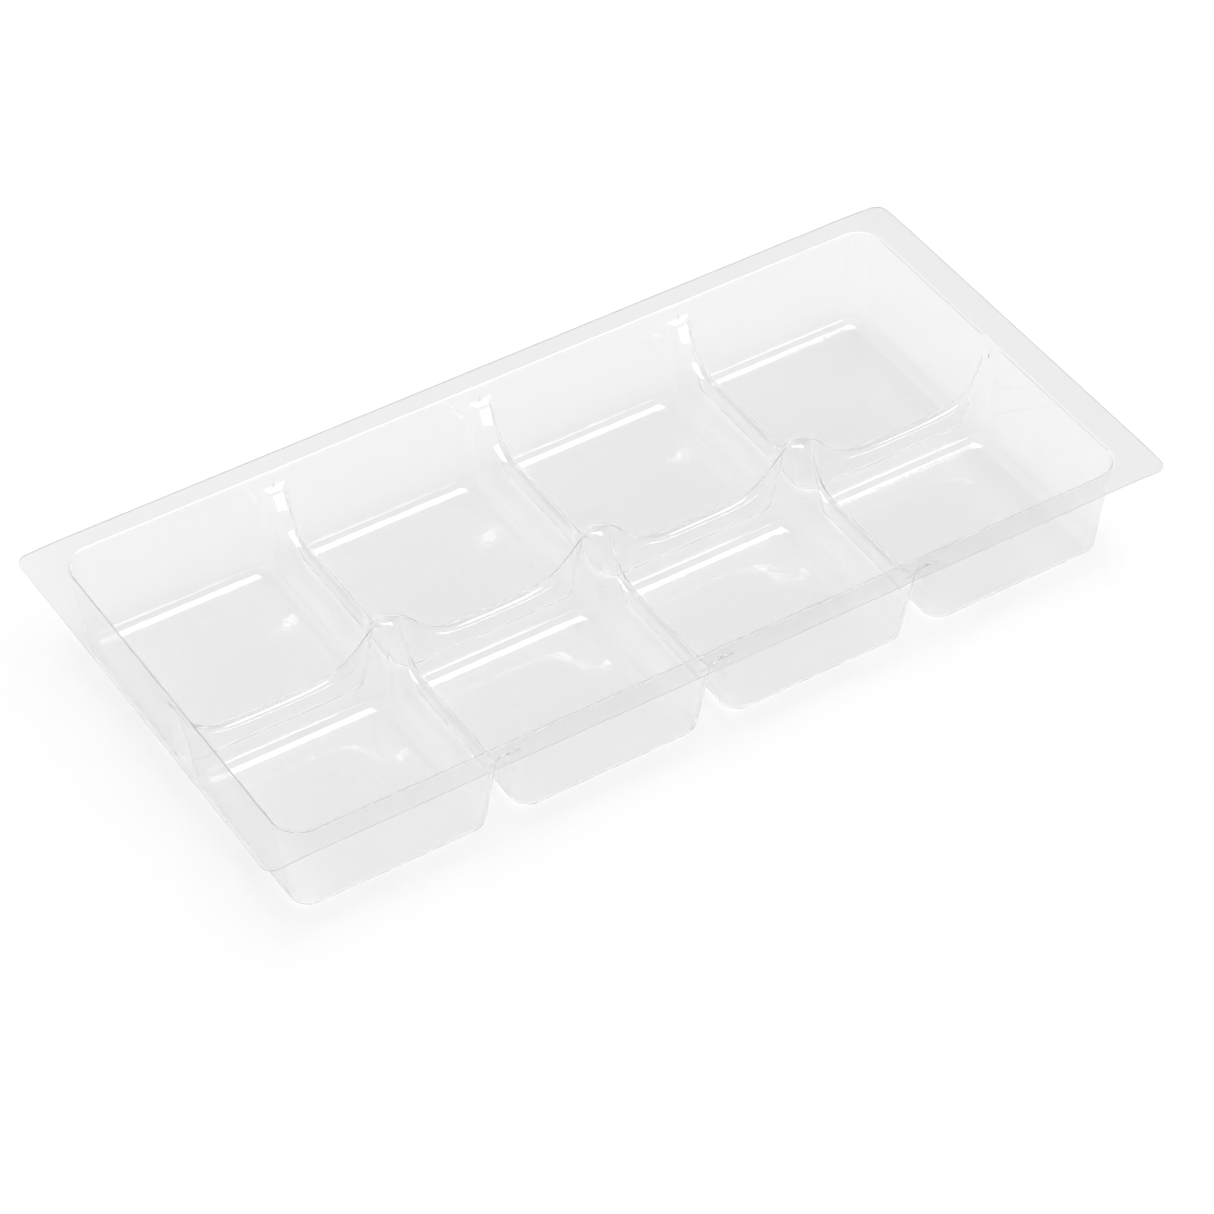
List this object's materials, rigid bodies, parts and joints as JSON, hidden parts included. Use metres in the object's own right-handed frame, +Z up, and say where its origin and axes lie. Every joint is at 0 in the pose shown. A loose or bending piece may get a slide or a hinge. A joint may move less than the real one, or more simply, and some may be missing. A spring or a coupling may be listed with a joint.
{
  "type": "soap tray mould",
  "caption": "Shallow clear plastic tray mould: square cells parted by low rounded ridges, inside one rectangular opening with a flat rim.",
  "frame": {"origin": "middle of the ground that the cell floors stand on, under the middle of the tray", "axes": "+X along the long side, +Y to the back, +Z up out of the open cells"},
  "size_m": [0.25, 0.121, 0.0282],
  "materials": {
    "clear_sheet": "clear glossy formed sheet"
  },
  "bodies": {
    "root": {"cup_back_1": "clear_sheet", "cup_back_2": "clear_sheet", "cup_back_3": "clear_sheet", "cup_back_4": "clear_sheet", "cup_front_1": "clear_sheet", "cup_front_2": "clear_sheet", "cup_front_3": "clear_sheet", "cup_front_4": "clear_sheet", "ridge_back_1": "clear_sheet", "ridge_back_2": "clear_sheet", "ridge_back_3": "clear_sheet", "ridge_front_1": "clear_sheet", "ridge_front_2": "clear_sheet", "ridge_front_3": "clear_sheet", "ridge_middle_1": "clear_sheet", "ridge_middle_2": "clear_sheet", "ridge_middle_3": "clear_sheet", "ridge_middle_4": "clear_sheet", "gusset_back_1": "clear_sheet", "gusset_back_2": "clear_sheet", "gusset_back_3": "clear_sheet", "gusset_front_1": "clear_sheet", "gusset_front_2": "clear_sheet", "gusset_front_3": "clear_sheet", "gusset_left": "clear_sheet", "gusset_right": "clear_sheet", "peak_1": "clear_sheet", "peak_2": "clear_sheet", "peak_3": "clear_sheet", "wall_back_1": "clear_sheet", "wall_back_2": "clear_sheet", "wall_back_3": "clear_sheet", "wall_back_4": "clear_sheet", "wall_front_1": "clear_sheet", "wall_front_2": "clear_sheet", "wall_front_3": "clear_sheet", "wall_front_4": "clear_sheet", "wall_left_back": "clear_sheet", "wall_left_front": "clear_sheet", "wall_right_back": "clear_sheet", "wall_right_front": "clear_sheet", "corner_back_left": "clear_sheet", "corner_back_right": "clear_sheet", "corner_front_left": "clear_sheet", "corner_front_right": "clear_sheet", "rim_front": "clear_sheet", "rim_back": "clear_sheet", "rim_left": "clear_sheet", "rim_right": "clear_sheet"}
  },
  "joints": []
}
